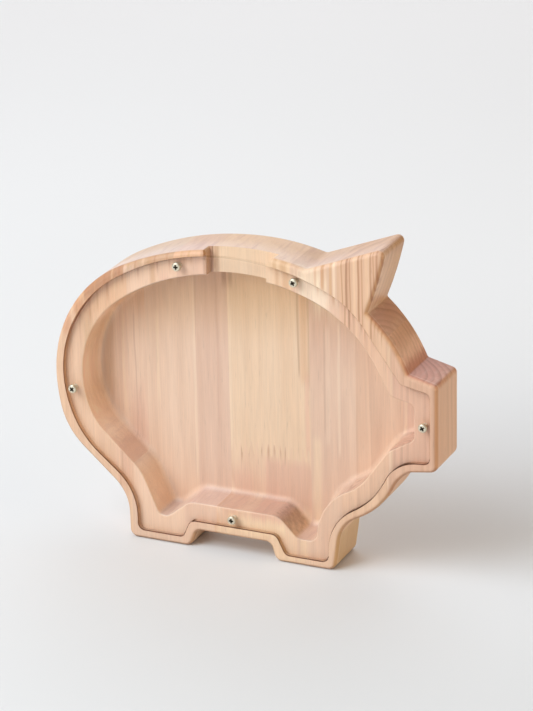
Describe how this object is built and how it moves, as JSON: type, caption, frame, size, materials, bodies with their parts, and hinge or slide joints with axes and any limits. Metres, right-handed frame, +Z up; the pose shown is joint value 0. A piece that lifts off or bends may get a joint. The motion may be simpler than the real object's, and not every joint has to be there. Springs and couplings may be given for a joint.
{
  "type": "wooden money box",
  "caption": "Pig-shaped money box cut from a glued wooden board, with a coin slot in the back and a screwed-on clear window over the coin chamber.",
  "frame": {"origin": "centre of the bounding box in X and Y, on the plane that the legs stand on", "axes": "+X towards the snout, the window side faces -Y, +Z up"},
  "size_m": [0.2131, 0.0318, 0.1769],
  "materials": {
    "board_pink": "sanded, clear oil",
    "board_cream": "sanded, clear oil",
    "board_tan": "sanded, clear oil",
    "clear_sheet": "clear, polished",
    "screw_steel": "bright zinc"
  },
  "bodies": {
    "box": {"stave_tail": "board_pink", "stave_rump": "board_cream", "stave_back": "board_pink", "stave_middle_upper": "board_cream", "stave_middle_lower": "board_pink", "stave_shoulder": "board_pink", "stave_ear": "board_tan", "stave_snout": "board_pink"},
    "window": {"window_panel": "clear_sheet"},
    "screw_rump": {"screw_rump": "screw_steel"},
    "screw_back": {"screw_back": "screw_steel"},
    "screw_neck": {"screw_neck": "screw_steel"},
    "screw_snout": {"screw_snout": "screw_steel"},
    "screw_belly": {"screw_belly": "screw_steel"}
  },
  "joints": [
    {"name": "window_lift_off", "type": "slide", "parent": "box", "child": "window", "axis": [0, -1, 0], "range_m": [0, 0.04]},
    {"name": "screw_rump_out", "type": "slide", "parent": "window", "child": "screw_rump", "axis": [0, -1, 0], "range_m": [0, 0.014]},
    {"name": "screw_back_out", "type": "slide", "parent": "window", "child": "screw_back", "axis": [0, -1, 0], "range_m": [0, 0.014]},
    {"name": "screw_neck_out", "type": "slide", "parent": "window", "child": "screw_neck", "axis": [0, -1, 0], "range_m": [0, 0.014]},
    {"name": "screw_snout_out", "type": "slide", "parent": "window", "child": "screw_snout", "axis": [0, -1, 0], "range_m": [0, 0.014]},
    {"name": "screw_belly_out", "type": "slide", "parent": "window", "child": "screw_belly", "axis": [0, -1, 0], "range_m": [0, 0.014]}
  ]
}
